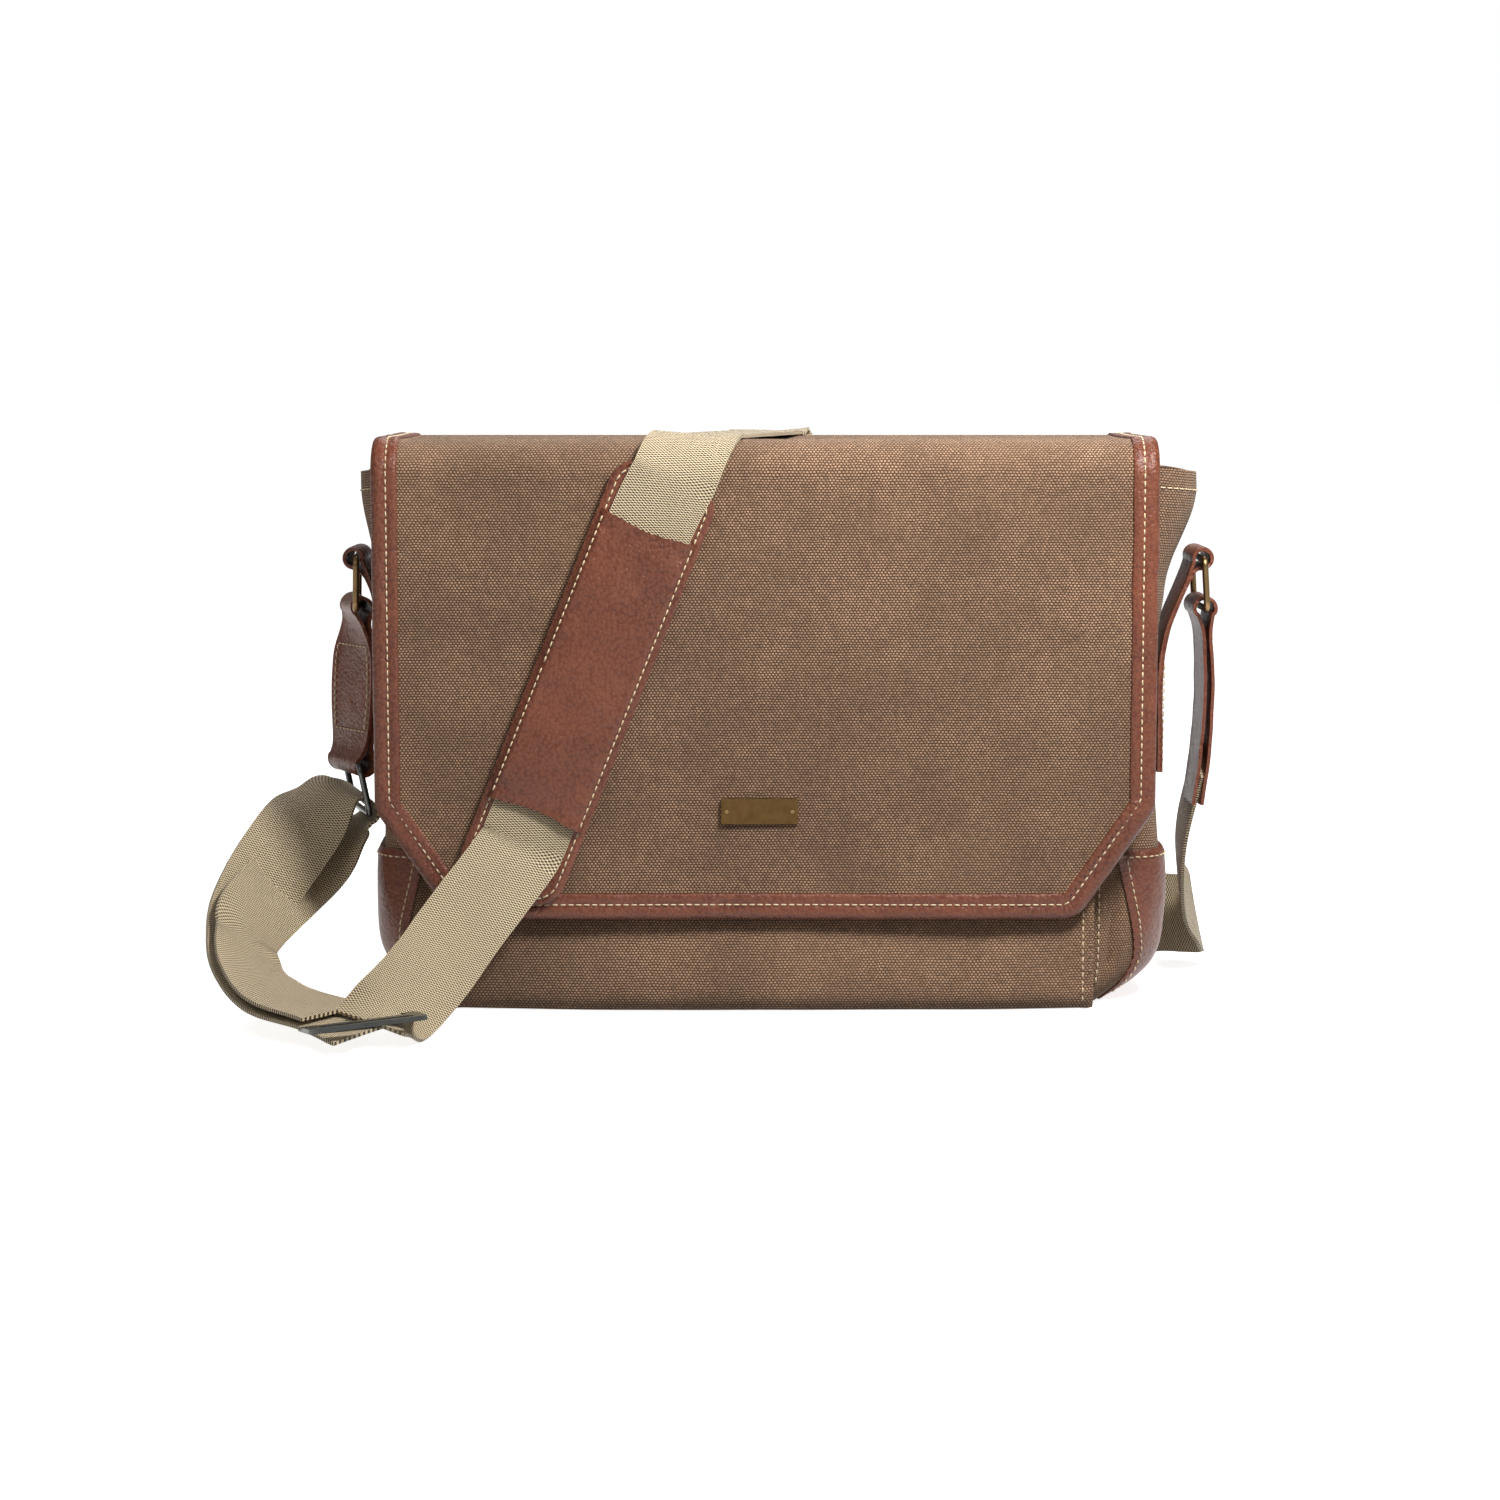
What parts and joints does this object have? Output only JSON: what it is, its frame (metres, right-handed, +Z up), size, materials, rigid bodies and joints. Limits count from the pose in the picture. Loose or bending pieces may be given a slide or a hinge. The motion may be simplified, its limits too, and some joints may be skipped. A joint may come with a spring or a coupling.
{
  "type": "messenger bag",
  "caption": "Canvas messenger bag with a leather-bound fold-over flap, leather corner patches, and an adjustable webbing shoulder strap with a leather pad.",
  "frame": {"origin": "on the floor, in the middle of the flat base", "axes": "+Z up, the front face and flap towards -Y, +X to the right seen from the front"},
  "size_m": [0.4859, 0.2531, 0.273],
  "materials": {
    "canvas": "washed brown basket-weave cotton canvas",
    "lining": "plain woven cotton lining",
    "leather": "red-brown pull-up leather with cream stitching",
    "webbing": "khaki flat-woven nylon webbing",
    "antique_brass": "dark antique brass",
    "gunmetal": "gunmetal plated steel",
    "nickel": "satin nickel plated",
    "board": "stiffener board",
    "zip_tape": "dark brown woven zip tape",
    "zip_coil": "nylon zip coil"
  },
  "bodies": {
    "root": {"front_panel": "canvas", "back_panel": "canvas", "left_gusset": "canvas", "right_gusset": "canvas", "base_panel": "canvas", "base_board": "board", "lining": "lining", "left_corner_patch": "leather", "right_corner_patch": "leather", "front_pocket_panel": "canvas", "front_pocket_gusset": "canvas", "laptop_sleeve": "lining", "zip_pocket": "lining", "zip_tape": "zip_tape", "zip_coil": "zip_coil", "flap_seam_strip": "canvas", "pocket_magnets": "nickel", "strap_back_webbing": "webbing", "right_strap_end": "leather", "left_ring_tab": "leather", "right_ring_tab": "leather", "left_connector": "leather"},
    "flap": {"flap_canvas": "canvas", "flap_lining": "lining", "flap_binding": "leather", "flap_magnets": "nickel", "name_plate": "antique_brass", "plate_pins": "antique_brass", "strap_front_webbing": "webbing", "pad_backing": "leather", "pad_face": "leather", "strap_slider": "gunmetal", "adjuster_webbing": "webbing"},
    "left_ring": {"left_ring": "antique_brass"},
    "right_ring": {"right_ring": "antique_brass"},
    "left_lower_ring": {"left_lower_ring": "gunmetal"},
    "zip_slider": {"zip_slider": "nickel"},
    "zip_pull": {"zip_pull": "nickel"}
  },
  "joints": [
    {"name": "flap_hinge", "type": "hinge", "parent": "root", "child": "flap", "pos_m": [0, 0.05, 0.2672], "axis": [-1, 0, 0], "range_deg": [0, 60], "deforming": ["adjuster_webbing", "left_connector"]},
    {"name": "left_lower_ring_lift", "type": "hinge", "parent": "root", "child": "left_lower_ring", "pos_m": [0, 0.05, 0.2672], "axis": [-1, 0, 0], "range_deg": [0, 15.5]},
    {"name": "left_ring_swivel", "type": "hinge", "parent": "root", "child": "left_ring", "pos_m": [-0.2, 0, 0.211], "axis": [0, 1, 0], "range_deg": [-4, 4]},
    {"name": "right_ring_swivel", "type": "hinge", "parent": "root", "child": "right_ring", "pos_m": [0.207, 0, 0.211], "axis": [0, 1, 0], "range_deg": [-4, 4]},
    {"name": "zip_slide", "type": "slide", "parent": "root", "child": "zip_slider", "axis": [1, 0, 0], "range_m": [0, 0.184]},
    {"name": "zip_pull_flip", "type": "hinge", "parent": "zip_slider", "child": "zip_pull", "pos_m": [-0.092, 0.0166, 0.192], "axis": [-1, 0, 0], "range_deg": [0, 95]}
  ],
  "couplings": [
    {"joint": "left_lower_ring_lift", "follows": "flap_hinge", "ratio": 0.25}
  ]
}
